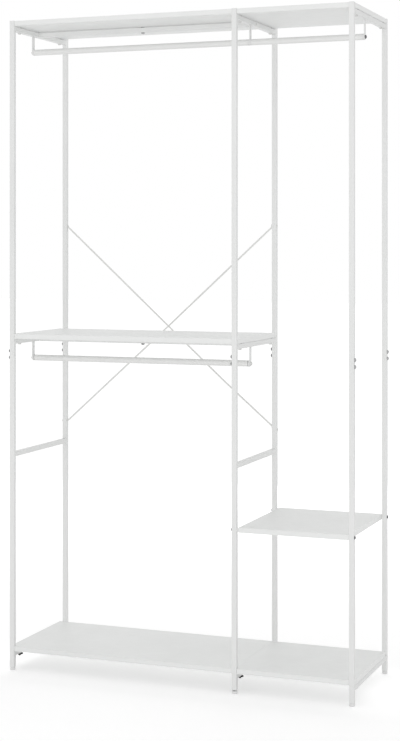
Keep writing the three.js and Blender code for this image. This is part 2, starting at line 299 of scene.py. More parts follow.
PAINT = Finish("powder_coat", Slot.PAINT, (0.72, 0.725, 0.72), 0.42, grain_depth=0.000015)
ROD_PAINT = Finish("rod_coat", Slot.ROD, (0.735, 0.737, 0.73), 0.36, gloss_drift=0.04)
LAMINATE = PebbledFinish("board_laminate", Slot.BOARD, (0.742, 0.75, 0.742), 0.44,
                         tone_size=0.12, grain_depth=0.000012)
EDGE_BAND = PebbledFinish("edge_band", Slot.BOARD, (0.75, 0.757, 0.75), 0.36,
                          grain_depth=0.000008, stretch=(6, 6, 1))
# Dark steel; on the splice bolts that face left it is also painted shade, the shaded copy of the lighter
# zinc
STEEL = Finish("zinc_plate", Slot.HARDWARE, (0.15, 0.15, 0.155), 0.34, metallic=1.0,
               tone_drift=0.12, tone_size=0.004, gloss_drift=0.1, gloss_size=0.002,
               grain_size=0.0004, grain_depth=0.000006)
# Lighter zinc; on the splice bolts that face right it is also painted light, the lit copy of the dark
# steel
ZINC_AND_LIT_COPY = Finish("zinc_and_lit_copy", Slot.HARDWARE, (0.42, 0.42, 0.425), 0.38, metallic=1.0,
              tone_drift=0.1, tone_size=0.004, grain_size=0.0004, grain_depth=0.000006)
PALE_SCREW = Finish("painted_screw", Slot.HARDWARE, (0.6, 0.6, 0.59), 0.4,
                    tone_drift=0.05, tone_size=0.006)
WIRE = Finish("coated_wire", Slot.HARDWARE, (0.66, 0.66, 0.65), 0.38, tone_size=0.1,
              grain_depth=0.000008)
DARK_PLASTIC = PebbledFinish("dark_plastic", Slot.DARK_PLASTIC, (0.045, 0.045, 0.047), 0.5,
                             tone_drift=0.1, tone_size=0.008, pebble_size=0.0006)
PALE_PLASTIC = PebbledFinish("pale_plastic", Slot.PALE_PLASTIC, (0.68, 0.68, 0.67), 0.5,
                             tone_drift=0.03, tone_size=0.01, pebble_size=0.0006)


# Shapes, each rising from the origin along +Z in a mesh of its own


def clean(form: bmesh.types.BMesh) -> bmesh.types.BMesh:
    """Merges a shape's doubles and turns its faces outwards.

    Args:
        form: Shape to clean.

    Returns:
        The same shape.
    """
    bmesh.ops.remove_doubles(form, verts=form.verts, dist=MERGE_DISTANCE)
    bmesh.ops.recalc_face_normals(form, faces=form.faces)
    return form


def soften(form: bmesh.types.BMesh, edges: Iterable[bmesh.types.BMEdge], width: float,
           steps: int = 2) -> None:
    """Rounds edges of a shape.

    Args:
        form: Shape to change.
        edges: Edges to round.
        width: Width taken off on each side of an edge.
        steps: Faces across the rounding.
    """
    bmesh.ops.bevel(form, geom=list(edges), offset=width, offset_type="OFFSET", segments=steps,
                    profile=0.5, affect="EDGES", material=-1, clamp_overlap=True)


def sharp_edges(form: bmesh.types.BMesh) -> list[bmesh.types.BMEdge]:
    """Returns the edges where two faces of a shape meet at a sharp angle."""
    return [edge for edge in form.edges if edge.is_manifold and edge.calc_face_angle() > SHARP_ANGLE]


def raise_faces(form: bmesh.types.BMesh, faces: Iterable[bmesh.types.BMFace],
                reach: Vector) -> list[bmesh.types.BMFace]:
    """Extrudes faces.

    Args:
        form: Shape to change.
        faces: Faces to extrude.
        reach: How far they go.

    Returns:
        The faces at the far end.
    """
    grown = bmesh.ops.extrude_face_region(form, geom=list(faces))["geom"]
    verts = [item for item in grown if isinstance(item, bmesh.types.BMVert)]
    bmesh.ops.translate(form, verts=verts, vec=reach)
    return [item for item in grown if isinstance(item, bmesh.types.BMFace)]


def square_bar(size: float, corner: float, length: float, rim: float = 0.0002) -> bmesh.types.BMesh:
    """Makes a square bar with rounded corners.

    Args:
        size: Width across its flats.
        corner: Radius of the long corners.
        length: Length of the bar.
        rim: Width of the rounding round its ends.

    Returns:
        The bar.
    """
    form = bmesh.new()
    middle = Matrix.Translation((0, 0, length / 2))
    bmesh.ops.create_cube(form, size=1.0, matrix=middle @ Matrix.Diagonal((size, size, length, 1)))
    upright = [edge for edge in form.edges
               if abs((edge.verts[1].co - edge.verts[0].co).z) > length / 2]
    soften(form, upright, corner, CORNER_STEPS)
    soften(form, sharp_edges(clean(form)), rim)
    return clean(form)


def square_tube(size: float, corner: float, wall: float, length: float) -> bmesh.types.BMesh:
    """Makes an open square tube with rounded corners.

    Args:
        size: Width across its flats.
        corner: Radius of the long corners.
        wall: Thickness of the wall.
        length: Length of the tube.

    Returns:
        The tube.
    """
    rim = wall * TUBE_RIM_SHARE
    form = square_bar(size, corner, length, rim)
    ends = [face for face in form.faces if abs(face.normal.z) > FLAT_NORMAL]
    bmesh.ops.inset_individual(form, faces=ends, thickness=wall - rim, use_even_offset=True)
    bmesh.ops.delete(form, geom=ends, context="FACES_ONLY")
    bmesh.ops.bridge_loops(form, edges=[edge for edge in form.edges if edge.is_boundary])
    return clean(form)


def turned(outline: Sequence[tuple[float, float]], steps: int = 32, closed: bool = False,
           edge: float = 0.0) -> bmesh.types.BMesh:
    """Spins an outline round +Z.

    Args:
        outline: Points as (radius, height).
        steps: Faces round the shape.
        closed: Whether the outline closes on itself, as that of a ring does.
        edge: Width of the rounding of the sharp edges.

    Returns:
        The turned shape.
    """
    form = bmesh.new()
    verts = [form.verts.new((radius, 0, height)) for radius, height in outline]
    pairs = list(zip(verts, verts[1:]))
    if closed:
        pairs.append((verts[-1], verts[0]))
    edges = [form.edges.new(pair) for pair in pairs]
    bmesh.ops.spin(form, geom=verts + edges, cent=(0, 0, 0), axis=UP, dvec=(0, 0, 0),
                   angle=2 * math.pi, steps=steps, use_merge=True, use_duplicate=False)
    clean(form)
    if edge:
        soften(form, sharp_edges(form), edge)
        clean(form)
    return form


def ring(inner: float, outer: float, height: float, edge: float, steps: int = 32) -> bmesh.types.BMesh:
    """Makes a flat ring or a tube with round edges.

    Args:
        inner: Radius of the hole.
        outer: Outer radius.
        height: Height of the ring.
        edge: Width of the rounding.
        steps: Faces round the ring.

    Returns:
        The ring.
    """
    outline = [(inner, 0), (outer, 0), (outer, height), (inner, height)]
    return turned(outline, steps, closed=True, edge=edge)


def slab(corners: Sequence[tuple[float, float]], thickness: float, arris: float,
         band: float = 0.0, seam: float = 0.0) -> bmesh.types.BMesh:
    """Makes a plate from its outline. With a band, its edges and rims take the second material.

    Args:
        corners: Outline as (x, y), counterclockwise.
        thickness: Thickness of the plate.
        arris: Width of the rounding along its edges.
        band: Thickness of the band round its edges.
        seam: Width of the sunk seam between the band and the flat faces.

    Returns:
        The plate.
    """
    form = bmesh.new()
    face = form.faces.new([form.verts.new((x, y, 0)) for x, y in corners])
    raise_faces(form, [face], UP * thickness)
    soften(form, sharp_edges(clean(form)), arris)
    if band:
        flats = [face for face in clean(form).faces if abs(face.normal.z) > FLAT_NORMAL]
        for side in form.faces:
            side.material_index = 1
        bmesh.ops.inset_individual(form, faces=flats, thickness=band - arris, use_even_offset=True)
        bmesh.ops.inset_individual(form, faces=flats, thickness=seam, depth=-seam / 2,
                                   use_even_offset=True)
        for flat in flats:
            flat.material_index = 0
    return clean(form)


def swept(path: Sequence[Vector], sections: Sequence[tuple[float, float]],
          sides: int = 16) -> bmesh.types.BMesh:
    """Sweeps an oval along a path in the upright plane along X.

    Args:
        path: Points of the path.
        sections: Half widths of the oval at each point, within the plane and across it.
        sides: Faces round the shape.

    Returns:
        The swept shape, closed at its ends.
    """
    ways = [(after - before).normalized() for before, after in zip(path, path[1:])]
    turns = [ways[0], *((way + after).normalized() for way, after in zip(ways, ways[1:])), ways[-1]]
    places = [
        Matrix.Translation(point) @ Matrix.Rotation(math.atan2(way.x, way.z), 4, "Y")
        @ Matrix.Diagonal((*section, 1, 1))
        for point, way, section in zip(path, turns, sections)
    ]
    form = bmesh.new()
    bmesh.ops.create_circle(form, cap_ends=True, segments=sides, radius=1, matrix=places[0])
    faces = list(form.faces)
    for before, after in zip(places, places[1:]):
        faces = raise_faces(form, faces, Vector())
        verts = list({vert for face in faces for vert in face.verts})
        bmesh.ops.transform(form, matrix=after @ before.inverted(), verts=verts)
    return clean(form)


def bead(length: float, radius: float, pitch: float = 0.0011, swell: float = 0.1,
         taper_share: float = 0.25, sides: int = 10) -> bmesh.types.BMesh:
    """Makes a weld bead with ripples.

    Args:
        length: Length of the bead.
        radius: Radius of its section.
        pitch: Length of one ripple.
        swell: Share by which the ripples swell.
        taper_share: Share of the length over which each end tapers.
        sides: Faces round the bead.

    Returns:
        The bead.
    """
    steps = 2 * round(length / pitch)
    outline = [(0.0, 0.0)]
    for step in range(1, steps):
        share = step / steps
        taper = math.sqrt(min(1.0, min(share, 1 - share) / taper_share))
        outline.append((radius * taper * (1 + swell * (-1) ** step), length * share))
    outline.append((0.0, length))
    return turned(outline, sides)


def placed(start: Vector, way: Vector) -> Matrix:
    """Returns the place of a shape that rises from a point in a direction."""
    return Matrix.Translation(start) @ UP.rotation_difference(way).to_matrix().to_4x4()


@dataclass(frozen=True)
class Bolt:
    """Round-headed bolt with a six-sided socket, whose bite is its depth in what it screws into."""

    shank: float = 0.0025
    head: float = 0.0055
    height: float = 0.0042
    rim_share: float = 0.3
    crown: float = 0.003
    socket: float = 0.0019
    socket_depth: float = 0.0013
    shank_edge: float = 0.0003
    bite: float = 0.008
    head_steps: int = 24
    dome_steps: int = 5
    shank_steps: int = 16

    def make_head(self) -> bmesh.types.BMesh:
        """Makes the head on its seat.

        Returns:
            The head.
        """
        rim = self.height * self.rim_share
        turns = [math.pi / 2 * step / self.dome_steps for step in range(self.dome_steps + 1)]
        dome = [(self.crown + (self.head - self.crown) * math.cos(turn),
                 rim + (self.height - rim) * math.sin(turn)) for turn in turns]
        form = turned([(0, 0), (self.head, 0), *dome], self.head_steps)
        base = self.height - self.socket_depth
        made = bmesh.ops.create_circle(form, cap_ends=True, segments=SOCKET_SIDES, radius=self.socket,
                                       matrix=Matrix.Translation((0, 0, base)))
        edges = list({edge for vert in made["verts"] for edge in vert.link_edges})
        bmesh.ops.subdivide_edges(form, edges=edges, cuts=self.head_steps // SOCKET_SIDES - 1)
        floor_edges = [edge for edge in form.edges if edge.is_boundary
                       and all(abs(vert.co.z - base) < MERGE_DISTANCE for vert in edge.verts)]
        walls = bmesh.ops.extrude_edge_only(form, edges=floor_edges)["geom"]
        top = [item for item in walls if isinstance(item, bmesh.types.BMVert)]
        bmesh.ops.translate(form, verts=top, vec=(0, 0, self.socket_depth))
        bmesh.ops.bridge_loops(form, edges=[edge for edge in form.edges if edge.is_boundary])
        return clean(form)

    def make_shank(self, length: float) -> bmesh.types.BMesh:
        """Makes the shank behind the head.

        Args:
            length: Length of the shank.

        Returns:
            The shank.
        """
        outline = [(0, 0), (self.shank, 0), (self.shank, length), (0, length)]
        return turned(outline, self.shank_steps, edge=self.shank_edge)


@dataclass(frozen=True)
class Washer:
    """Flat washer or spacer between two pieces."""

    radius: float = 0.006
    edge: float = 0.0002

    def make(self, bore: float, thickness: float) -> bmesh.types.BMesh:
        """Returns the washer on its seat."""
        return ring(bore, self.radius, thickness, self.edge)


class Piece:
    """One piece in the making, which gathers shapes in the frame's coordinates."""

    def __init__(self, name: str, *finishes: Finish) -> None:
        """Starts a piece.

        Args:
            name: Name of the piece.
            finishes: Its finishes, in the order of the shapes' material numbers.
        """
        self.name = name
        self.finishes = finishes
        self.mesh = bmesh.new()

    def add(self, form: bmesh.types.BMesh, start: Vector, way: Vector = UP,
            material: int | None = None) -> Piece:
        """Adds a shape.

        Args:
            form: The shape, which is used up.
            start: Where its origin goes.
            way: Direction in which it rises.
            material: Number of the finish, or None to keep the numbers on its faces.

        Returns:
            The piece itself.
        """
        if material is not None:
            for face in form.faces:
                face.material_index = material
        form.transform(placed(start, way))
        part = bpy.data.meshes.new(self.name)
        form.to_mesh(part)
        form.free()
        self.mesh.from_mesh(part)
        bpy.data.meshes.remove(part)
        return self

    def add_bolt(self, bolt: Bolt, seat: Vector, way: Vector, reach: float, material: int = 0) -> None:
        """Adds a bolt whose head rests on a seat.

        Args:
            bolt: Kind of bolt.
            seat: Middle of the face that the head rests on.
            way: Direction in which the head stands out.
            reach: Length of the shank behind the seat.
            material: Number of the finish.
        """
        self.add(bolt.make_head(), seat, way, material)
        self.add(bolt.make_shank(reach), seat, -way, material)

    def finish(self, *stands_for: str, body: str = Body.FRAME.value) -> bpy.types.Object:
        """Makes the object and hands it to the frame.

        Args:
            stands_for: Nodes of the frame that the piece replaces.
            body: Body that the piece moves with.

        Returns:
            The finished object.
        """
        data = bpy.data.meshes.new(self.name)
        self.mesh.to_mesh(data)
        self.mesh.free()
        data.shade_smooth()
        data.set_sharp_from_angle(angle=SHARP_ANGLE)
        for finish in self.finishes:
            data.materials.append(finish.material())
        piece = bpy.data.objects.new(self.name, data)
        bpy.context.scene.collection.objects.link(piece)
        normals = piece.modifiers.new("flat_faces", "WEIGHTED_NORMAL")
        normals.keep_sharp = True
        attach(piece, body)
        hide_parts(*stands_for)
        LOG.info("%s: %d faces, moves with %s", self.name, len(data.polygons), body)
        return piece


@dataclass(frozen=True)
class Box:
    """Lowest and highest corner of a node of the frame."""

    low: Vector
    high: Vector

    @classmethod
    def of(cls, node: str) -> Box:
        """Returns the box of a node."""
        return cls(*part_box(node))

    @property
    def centre(self) -> Vector:
        """Middle of the box."""
        return (self.low + self.high) / 2

    @property
    def size(self) -> Vector:
        """Widths of the box."""
        return self.high - self.low

    @property
    def base(self) -> Vector:
        """Middle of the lower face."""
        return Vector((*self.centre.xy, self.low.z))

    @property
    def top(self) -> Vector:
        """Middle of the upper face."""
        return Vector((*self.centre.xy, self.high.z))

    @property
    def left(self) -> Vector:
        """Middle of the left face."""
        return Vector((self.low.x, *self.centre.yz))


@dataclass(frozen=True)
class Stock:
    """Square tube that posts, rails and bars are cut from, and the radius of its weld beads."""

    size: float = field(default_factory=lambda: Box.of("left_rung").size.z)
    corner: float = 0.0018
    wall: float = 0.001
    bead: float = 0.0013

    @property
    def half(self) -> float:
        """Half the width across the flats."""
        return self.size / 2

    @property
    def bore(self) -> float:
        """Width inside the tube."""
        return self.size - 2 * self.wall

    @property
    def bore_corner(self) -> float:
        """Radius of the long corners of what fits inside the tube."""
        return self.corner / 2

    def tube(self, length: float) -> bmesh.types.BMesh:
        """Returns a length of the tube."""
        return square_tube(self.size, self.corner, self.wall, length)


@dataclass(frozen=True)
class Layout:
    """Tube, places and heights that the pieces share, read from the frame."""

    stock: Stock
    frame_x: dict[Side, float]
    post_y: dict[Place, float]
    rail_base: dict[Level, float]
    rung_base: float
    bolt_y: tuple[float, float]
    lift: float

    @classmethod
    def read(cls, washer: float = 0.001) -> Layout:
        """Reads the places.

        Args:
            washer: Thickness of the washers between rails and boards.

        Returns:
            The layout.
        """
        stock = Stock()
        lift = stock.size + washer
        bolt_y = Box.of("left_bolt_fitting").centre.y
        posts = {side: Box.of(f"{side.value}_front_upper_post").centre for side in Side}
        return cls(
            stock=stock,
            frame_x={side: centre.x for side, centre in posts.items()},
            post_y={place: Box.of(f"left_{place.value}_upper_post").centre.y for place in Place},
            rail_base={level: Box.of(f"{level.value}_left_board").low.z - lift for level in Level},
            rung_base=Box.of("left_rung").low.z,
            bolt_y=(bolt_y, -bolt_y),
            lift=lift,
        )


@dataclass(frozen=True)
class Packing:
    """Pale strip that fills the gap between a rail or bar and its board, open round the bolts."""

    layout: Layout
    inset: float = 0.0
    opening: float = 0.012
    arris: float = 0.0002

    def build(self, name: str, start: Vector, end: Vector, bolts: Sequence[Vector]) -> None:
        """Builds the lengths of the strip.

        Args:
            name: Name of the piece.
            start: Middle of the tube's upper face at one end.
            end: The same at the other end.
            bolts: Places of the bolts, in order from the start.
        """
        stock = self.layout.stock
        way = (end - start).normalized()
        across = way.cross(UP) * (stock.half - self.inset)
        gap = way * self.opening
        stops = [start, *(bolt + turn * gap for bolt in bolts for turn in (-1, 1)), end]
        strip = Piece(name, PALE_PLASTIC)
        for low, high in zip(stops[::2], stops[1::2]):
            corners = [(low + across).xy, (high + across).xy, (high - across).xy, (low - across).xy]
            strip.add(slab(corners, self.layout.lift - stock.size, self.arris), UP * start.z)
        strip.finish()


@dataclass(frozen=True)
class Post:
    """One post: two lengths of tube joined by a splice, with a cap, a plug and a foot."""

    layout: Layout
    side: Side
    place: Place
    splice_bolt_pitch: float = 0.02
    fit: float = 0.0003
    cap_depth: float = 0.008
    cap_sink: float = 0.0002
    cap_arris: float = 0.0006
    plug_depth: float = 0.016
    bolt: Bolt = Bolt()

    @property
    def name(self) -> str:
        """Name that the post's nodes start with."""
        return f"{self.side.value}_{self.place.value}"

    def build(self) -> None:
        """Builds every piece of the post."""
        for half in ("lower", "upper"):
            node = f"{self.name}_{half}_post"
            box = Box.of(node)
            Piece(f"{node}_tube", PAINT).add(self.layout.stock.tube(box.size.z), box.base).finish(node)
        self.build_cap()
        self.build_plug()
        self.build_splice()
        Foot(f"{self.name}_foot").build()

    def build_cap(self) -> None:
        """Builds the cap that closes the post's top."""
        stock = self.layout.stock
        top = Box.of(f"{self.name}_upper_post").top + DOWN * self.cap_sink
        cap = square_bar(stock.bore - self.fit, stock.bore_corner, self.cap_depth, self.cap_arris)
        Piece(f"{self.name}_cap", PALE_PLASTIC).add(cap, top, DOWN).finish()

    def build_plug(self) -> None:
        """Builds the plug in the post's lower end, with a bore for the foot's stem."""
        base = Box.of(f"{self.name}_lower_post").base
        stock = self.layout.stock
        plug = Piece(f"{self.name}_plug", PALE_PLASTIC)
        width = stock.bore - self.fit
        plug.add(ring(Foot.stem + self.fit, width / 2, self.plug_depth, self.fit), base)
        plug.add(square_tube(width, stock.bore_corner, stock.wall, self.plug_depth), base)
        plug.finish()

    def build_splice(self) -> None:
        """Builds the bar inside both halves, and its two bolts."""
        node, stock = f"{self.name}_splice", self.layout.stock
        box, post = Box.of(node), Box.of(f"{self.name}_upper_post")
        way = -TO_RIGHT if box.low.x < post.low.x else TO_RIGHT
        middle = Vector((post.centre.x, post.centre.y, box.centre.z))
        # Painted light and shade: bolts that face right take the lighter zinc as a lit copy, bolts that
        # face left the dark steel as a shaded copy
        splice = Piece(f"{node}_bar", ZINC_AND_LIT_COPY if way.x > 0 else STEEL)
        bar = square_bar(stock.bore - 2 * self.fit, stock.bore_corner, box.size.z)
        splice.add(bar, middle - UP * box.size.z / 2)
        for step in (-1, 1):
            seat = middle + way * stock.half + UP * step * self.splice_bolt_pitch / 2
            splice.add_bolt(self.bolt, seat, way, stock.half)
        splice.finish(node)


@dataclass(frozen=True)
class Foot:
    """Levelling foot: a moulded glide with finger flutes on a threaded stem."""

    node: str
    stem: float = 0.004
    stem_length: float = 0.024
    thread_pitch: float = 0.00125
    thread_depth: float = 0.0005
    sole_edge: float = 0.0012
    top_edge: float = 0.0007
    wall_rows: int = 4
    flutes: int = 12
    flute_depth: float = 0.0004
    flute_rise: float = 0.0025
    steps: int = 96
    stem_steps: int = 24

    def build(self) -> None:
        """Builds the foot, which moves with its own body."""
        box = Box.of(self.node)
        height = box.size.z - self.stem_length
        foot = Piece(f"{self.node}_glide", PALE_PLASTIC, STEEL)
        foot.add(self.make_glide(box.size.x / 2, height), box.base, material=0)
        foot.add(self.make_stem(), box.base + UP * height, material=1)
        foot.finish(self.node, body=self.node)

    def make_glide(self, radius: float, height: float) -> bmesh.types.BMesh:
        """Makes the glide.

        Args:
            radius: Its radius.
            height: Its height.

        Returns:
            The glide.
        """
        wall = height - self.sole_edge - self.top_edge
        glide = turned([
            (0, 0),
            (radius - self.sole_edge, 0),
            *((radius, self.sole_edge + wall * row / self.wall_rows) for row in range(self.wall_rows + 1)),
            (radius - self.top_edge, height),
            (0, height),
        ], self.steps)
        for vert in glide.verts:
            if vert.co.xy.length > radius - MERGE_DISTANCE and vert.co.z > self.flute_rise:
                wave = 0.5 - 0.5 * math.cos(self.flutes * math.atan2(vert.co.y, vert.co.x))
                vert.co.xy *= 1 - self.flute_depth / radius * wave
        return glide

    def make_stem(self) -> bmesh.types.BMesh:
        """Makes the stem, with rings for its thread.

        Returns:
            The stem.
        """
        root = self.stem - self.thread_depth
        turns = round(self.stem_length / self.thread_pitch)
        pitch = self.stem_length / turns
        outline = [(0.0, 0.0)]
        for turn in range(turns):
            outline += [(root, pitch * turn), (self.stem, pitch * (turn + 0.5))]
        outline += [(root, self.stem_length), (0.0, self.stem_length)]
        return turned(outline, self.stem_steps)


@dataclass(frozen=True)
class UprightFrame:
    """Front and back post of one side with the rails, the rung and the rod straps."""

    layout: Layout
    side: Side
    packing_inset: float = 0.0012
    bolt: Bolt = Bolt()
    washer: Washer = Washer()

    @property
    def levels(self) -> list[Level]:
        """Levels at which the frame has rails."""
        return [level for level in Level if f"{self.side.value}_{level.value}_rail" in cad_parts]

    def build(self) -> None:
        """Builds every piece of the frame."""
        for place in Place:
            Post(self.layout, self.side, place).build()
        for level in self.levels:
            self.build_rail(level)
            if f"{self.side.value}_{level.value}_strap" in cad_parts:
                Strap(self.layout, f"{self.side.value}_{level.value}_strap").build()
        rung = f"{self.side.value}_rung"
        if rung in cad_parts:
            self.rail_tube(f"{rung}_tube", self.layout.rung_base).finish(rung)
        fitting = f"{self.side.value}_bolt_fitting"
        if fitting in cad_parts:
            BoltFitting(fitting).build()

    def rail_tube(self, name: str, base: float) -> Piece:
        """Starts a rail with its weld beads.

        Args:
            name: Name of the piece.
            base: Height of the rail's underside.

        Returns:
            The piece, not yet finished.
        """
        stock = self.layout.stock
        x = self.layout.frame_x[self.side]
        start, end = (self.layout.post_y[place] for place in Place)
        rail = Piece(name, PAINT)
        reach = end - start - stock.size
        rail.add(stock.tube(reach), Vector((x, start + stock.half, base + stock.half)), TO_BACK)
        bead_length = stock.size - 2 * stock.corner
        for y in (start + stock.half, end - stock.half):
            for z in (base, base + stock.size):
                rail.add(bead(bead_length, stock.bead), Vector((x - bead_length / 2, y, z)), TO_RIGHT)
        return rail

    def build_rail(self, level: Level) -> None:
        """Builds a rail that carries boards, with its bolts, washers and packing.

        Args:
            level: Level of the rail.
        """
        node = f"{self.side.value}_{level.value}_rail"
        layout, base = self.layout, self.layout.rail_base[level]
        self.rail_tube(f"{node}_tube", base).finish(node)
        self.build_bolts(node, level)
        x, top = layout.frame_x[self.side], base + layout.stock.size
        ends = [Vector((x, layout.post_y[place] + turn * layout.stock.half, top))
                for place, turn in ((Place.FRONT, 1), (Place.BACK, -1))]
        packing = Packing(layout, 0.0 if level is Level.TOP else self.packing_inset)
        packing.build(f"{node}_packing", *ends, [Vector((x, y, top)) for y in layout.bolt_y])

    def build_bolts(self, node: str, level: Level) -> None:
        """Builds the bolts and washers of a rail. A bolt in a dark fitting has no head.

        Args:
            node: Node of the rail.
            level: Level of the rail.
        """
        layout, size = self.layout, self.layout.stock.size
        bolts = Piece(f"{node}_bolts", PALE_SCREW)
        washers = Piece(f"{node}_washers", DARK_PLASTIC)
        reach, below = layout.lift + self.bolt.bite, self.bolt.bite / 2
        has_fitting = level is Level.BOTTOM and f"{self.side.value}_bolt_fitting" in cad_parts
        for y in layout.bolt_y:
            seat = Vector((layout.frame_x[self.side], y, layout.rail_base[level]))
            washers.add(self.washer.make(self.bolt.shank, layout.lift - size), seat + UP * size)
            if has_fitting and y == layout.bolt_y[0]:
                bolts.add(self.bolt.make_shank(reach + below), seat + DOWN * below)
            else:
                bolts.add_bolt(self.bolt, seat, DOWN, reach)
        bolts.finish()
        washers.finish()


@dataclass(frozen=True)
class Strap:
    """Flat strap that hangs a rod under a rail, round at its lower end."""

    layout: Layout
    node: str
    arris: float = 0.0003
    steps: int = 48

    def build(self) -> None:
        """Builds the strap with the welds on both sides under its rail."""
        box = Box.of(self.node)
        width, thickness = box.size.y, box.size.x
        form = bmesh.new()
        bmesh.ops.create_circle(form, cap_ends=True, segments=self.steps, radius=width / 2)
        whole = [*form.verts, *form.edges, *form.faces]
        bmesh.ops.bisect_plane(form, geom=whole, dist=MERGE_DISTANCE, plane_co=(0, 0, 0),
                               plane_no=(0, 1, 0), clear_outer=True)
        top = [edge for edge in form.edges
               if all(abs(vert.co.y) < MERGE_DISTANCE for vert in edge.verts)]
        grown = bmesh.ops.extrude_edge_only(form, edges=top)["geom"]
        verts = [item for item in grown if isinstance(item, bmesh.types.BMVert)]
        bmesh.ops.translate(form, verts=verts, vec=(0, box.size.z - width / 2, 0))
        raise_faces(form, list(form.faces), UP * thickness)
        soften(form, sharp_edges(clean(form)), self.arris)
        clean(form).transform(Matrix.Rotation(math.pi / 2, 4, "X"))
        form.transform(Matrix.Rotation(math.pi / 2, 4, "Z"))
        strap = Piece(f"{self.node}_plate", PAINT)
        axis = Vector((box.low.x, box.centre.y, box.low.z + width / 2))
        strap.add(form, axis)
        for side in (-1, 1):
            start = Vector((box.centre.x + side * thickness / 2, box.low.y, box.high.z))
            strap.add(bead(width, thickness / 2), start, TO_BACK)
        strap.finish(self.node)


@dataclass(frozen=True)
class BoltFitting:
    """Dark fitting on a bolt's end: a disc under a collar, which tapers to a stem."""

    node: str
    collar: float = 0.006
    collar_height: float = 0.0022
    overhang: float = 0.0018
    stem: float = 0.0035
    rim: float = 0.0016
    flare: float = 0.003
    edge: float = 0.0003
    steps: int = 40

    def build(self) -> None:
        """Builds the fitting."""
        box = Box.of(self.node)
        radius, length = box.size.x / 2 + self.overhang, box.size.z
        rim_end = self.collar_height + self.rim
        form = turned([
            (0, 0),
            (self.collar, 0),
            (self.collar, self.collar_height),
            (radius, self.collar_height),
            (radius, rim_end),
            (self.stem, rim_end + self.flare),
            (self.stem, length),
            (0, length),
        ], self.steps, edge=self.edge)
        Piece(f"{self.node}_disc", DARK_PLASTIC).add(form, box.top, DOWN).finish(self.node)


@dataclass(frozen=True)
class Panel:
    """Laminated panel with a band round its edges."""

    node: str
    arris: float = 0.0005
    band: float = 0.0012
    seam: float = 0.00015

    def build(self, corners: Sequence[tuple[float, float]]) -> None:
        """Builds the panel at the height of its node.

        Args:
            corners: Its outline as (x, y), counterclockwise.
        """
        box = Box.of(self.node)
        form = slab(corners, box.size.z, self.arris, self.band, self.seam)
        Piece(f"{self.node}_panel", LAMINATE, EDGE_BAND).add(form, UP * box.low.z).finish(self.node)


@dataclass(frozen=True)
class Board:
    """Board that rests on two rails, notched round the front posts."""

    layout: Layout
    node: str
    start: Side
    end: Side
    notch_fit: float = 0.0005

    def build(self) -> None:
        """Builds the board."""
        Panel(self.node).build(self.outline())

    def outline(self) -> list[tuple[float, float]]:
        """Works out the board's outline.

        Returns:
            Its corners as (x, y), counterclockwise.
        """
        box = Box.of(self.node)
        reach = self.layout.stock.half + self.notch_fit
        notch_y = self.layout.post_y[Place.FRONT] + reach
        start_x = self.layout.frame_x[self.start] + reach
        end_x = self.layout.frame_x[self.end] - reach
        return [
            (box.low.x, notch_y),
            (start_x, notch_y),
            (start_x, box.low.y),
            (end_x, box.low.y),
            (end_x, notch_y),
            (box.high.x, notch_y),
            (box.high.x, box.high.y),
            (box.low.x, box.high.y),
        ]


@dataclass(frozen=True)
class LowShelf:
    """Low shelf of the narrow bay, bolted through four posts on spacers."""

    layout: Layout
    node: str = "low_right_shelf"
    left_gap: float = 0.006
    right_gap: float = 0.0006
    spacer: Washer = Washer()
    bolt: Bolt = Bolt(head=0.0047, height=0.003, crown=0.0026)

    def build(self) -> None:
        """Builds the shelf, its spacers and its bolts."""
        box = Box.of(self.node)
        stock = self.layout.stock
        low_x = self.layout.frame_x[Side.CENTRE] + stock.half + self.left_gap
        high_x = self.layout.frame_x[Side.RIGHT] - stock.half - self.right_gap
        corners = [(low_x, box.low.y), (high_x, box.low.y), (high_x, box.high.y), (low_x, box.high.y)]
        Panel(self.node).build(corners)
        spacers = Piece(f"{self.node}_spacers", PALE_PLASTIC)
        bolts = Piece(f"{self.node}_bolts", STEEL)
        for side, turn, gap in ((Side.CENTRE, -1, self.left_gap), (Side.RIGHT, 1, self.right_gap)):
            way = TO_RIGHT * turn
            for y in self.layout.post_y.values():
                middle = Vector((self.layout.frame_x[side], y, box.centre.z))
                spacers.add(self.spacer.make(self.bolt.shank, gap), middle - way * stock.half, -way)
                reach = stock.size + gap + self.bolt.bite
                bolts.add_bolt(self.bolt, middle + way * stock.half, way, reach)
        spacers.finish()
        bolts.finish()


@dataclass(frozen=True)
class SupportBar:
    """Bar of square tube under a long board, bolted at its middle; the top one has end screws."""

    layout: Layout
    level: Level
    bolt: Bolt = Bolt()
    washer: Washer = Washer()
    end_screw: Bolt = Bolt(shank=0.002, head=0.0038, height=0.0016, crown=0.0022, socket=0.0015,
                           socket_depth=0.0009)

    def build(self) -> None:
        """Builds the bar with its washer and its screws."""
        node = f"{self.level.value}_support_bar"
        box, stock, lift = Box.of(node), self.layout.stock, self.layout.lift
        seat = Vector((*box.centre.xy, self.layout.rail_base[self.level]))
        start = Vector((box.low.x, box.centre.y, seat.z + stock.half))
        end = start + TO_RIGHT * box.size.x
        Piece(f"{node}_tube", PAINT).add(stock.tube(box.size.x), start, TO_RIGHT).finish(node)
        washer = self.washer.make(self.bolt.shank, lift - stock.size)
        Piece(f"{node}_washer", DARK_PLASTIC).add(washer, seat + UP * stock.size).finish()
        screws = Piece(f"{node}_screws", ZINC_AND_LIT_COPY if self.level is Level.TOP else STEEL, PALE_SCREW)
        screws.add_bolt(self.bolt, seat, DOWN, lift + self.bolt.bite)
        if self.level is Level.TOP:
            for tip, way in ((start, -TO_RIGHT), (end, TO_RIGHT)):
                screws.add_bolt(self.end_screw, tip + way * stock.size, way,
                                stock.size + self.end_screw.bite, material=1)
        screws.finish()
        top = UP * stock.half
        Packing(self.layout).build(f"{node}_packing", start + top, end + top, [seat + UP * stock.size])


